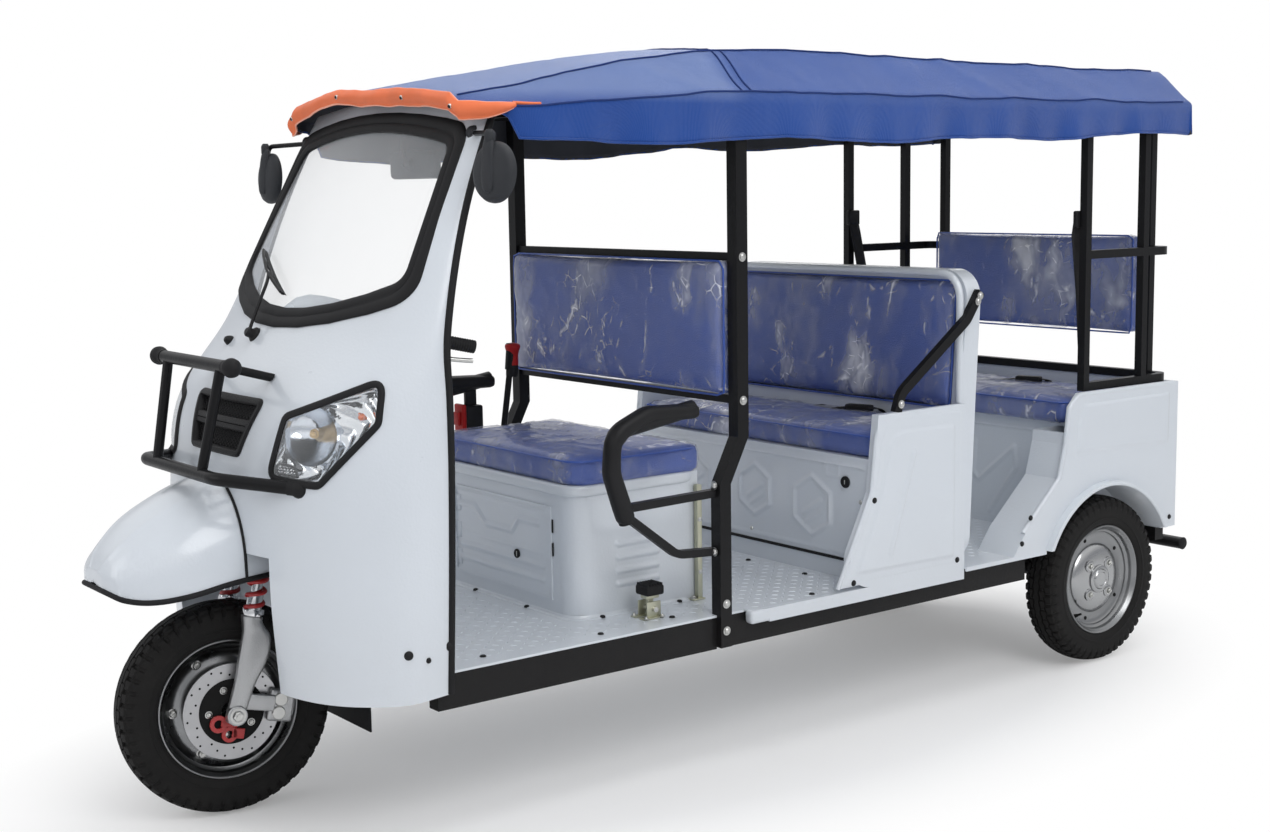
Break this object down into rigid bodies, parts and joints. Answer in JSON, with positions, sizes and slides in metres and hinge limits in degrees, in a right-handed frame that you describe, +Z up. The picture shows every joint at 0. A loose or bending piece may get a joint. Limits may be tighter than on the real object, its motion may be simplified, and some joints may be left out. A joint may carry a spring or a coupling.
{
  "type": "electric rickshaw",
  "caption": "Three-wheeled electric passenger rickshaw with an open-sided cab, a cloth canopy, driver's seat and passenger benches, steered front wheel.",
  "frame": {"origin": "on the ground under the middle of the overall length and width", "axes": "+X forward, +Y to the vehicle's left, +Z up"},
  "size_m": [3.4039, 1.256, 1.8198],
  "materials": {
    "body_paint": "white gloss paint",
    "frame_paint": "black semi-gloss paint",
    "black_rubber": "matt black",
    "black_plastic": "grained black",
    "screen_glass": "clear",
    "lamp_lens": "clear lens over a bright reflector",
    "red_lens": "red lens",
    "floor_plate": "white tread plate",
    "seat_cover": "blue leathercloth under clear film",
    "canvas": "blue coated canvas",
    "cast_silver": "cast and painted silver",
    "red_spring": "red spring",
    "tyre_rubber": "black rubber",
    "rim_silver": "silver paint",
    "disc_steel": "ground steel"
  },
  "bodies": {
    "chassis": {"cab_cowl": "body_paint", "windscreen_seal": "black_rubber", "windscreen": "screen_glass", "headlamps": "lamp_lens", "nose_grille": "black_plastic", "dash_panel": "body_paint", "head_frame": "frame_paint", "ladder_frame": "frame_paint", "front_floor": "floor_plate", "middle_floor": "floor_plate", "rear_floor": "floor_plate", "rear_tub_sides": "body_paint", "rear_tail_panel": "body_paint", "tail_lamps": "red_lens", "rear_seat_box": "body_paint", "rear_cushion": "seat_cover", "rear_guard_frame": "frame_paint", "rear_backrest": "seat_cover", "middle_side_panels": "body_paint", "middle_seat_box": "body_paint", "middle_seat_shell": "body_paint", "middle_backrest": "seat_cover", "middle_cushion": "seat_cover", "battery_block": "black_plastic", "grab_bars": "frame_paint", "driver_back_frame": "frame_paint", "driver_backrest": "seat_cover", "armrests": "black_plastic", "driver_seat_box": "body_paint", "driver_cushion": "seat_cover", "brake_pedal": "black_rubber", "hand_brake": "frame_paint", "roof_frame": "frame_paint", "canopy": "canvas", "front_fender": "body_paint", "front_bumper": "frame_paint", "rear_bumper": "frame_paint", "rear_axle": "frame_paint", "leaf_springs": "frame_paint", "door_mirrors": "black_plastic", "inside_mirror": "black_plastic", "mud_flap": "black_rubber"},
    "steering": {"fork": "cast_silver", "fork_springs": "red_spring", "handlebar": "frame_paint"},
    "front_wheel": {"front_tyre": "tyre_rubber", "front_rim": "rim_silver", "brake_disc": "disc_steel"},
    "rear_left_wheel": {"rear_left_tyre": "tyre_rubber", "rear_left_rim": "rim_silver"},
    "rear_right_wheel": {"rear_right_tyre": "tyre_rubber", "rear_right_rim": "rim_silver"},
    "seat_hatch": {"seat_box_hatch": "body_paint"}
  },
  "joints": [
    {"name": "steering_turn", "type": "hinge", "parent": "chassis", "child": "steering", "pos_m": [1.37092, 0, 0.24701], "axis": [-0.2284, 0, 0.9736], "range_deg": [-13.65, 30.35]},
    {"name": "front_wheel_spin", "type": "hinge", "parent": "steering", "child": "front_wheel", "pos_m": [1.40464, -0.00508, 0.25492], "axis": [0.1414, 0.9894, 0.0332], "continuous": true},
    {"name": "rear_left_wheel_spin", "type": "hinge", "parent": "chassis", "child": "rear_left_wheel", "pos_m": [-1.22, 0.485, 0.255], "axis": [0, 1, 0], "continuous": true},
    {"name": "rear_right_wheel_spin", "type": "hinge", "parent": "chassis", "child": "rear_right_wheel", "pos_m": [-1.22, -0.485, 0.255], "axis": [0, 1, 0], "continuous": true},
    {"name": "seat_hatch_turn", "type": "hinge", "parent": "chassis", "child": "seat_hatch", "pos_m": [0.607, -0.238, 0.5465], "axis": [0, 0, -1], "range_deg": [0, 100]}
  ]
}
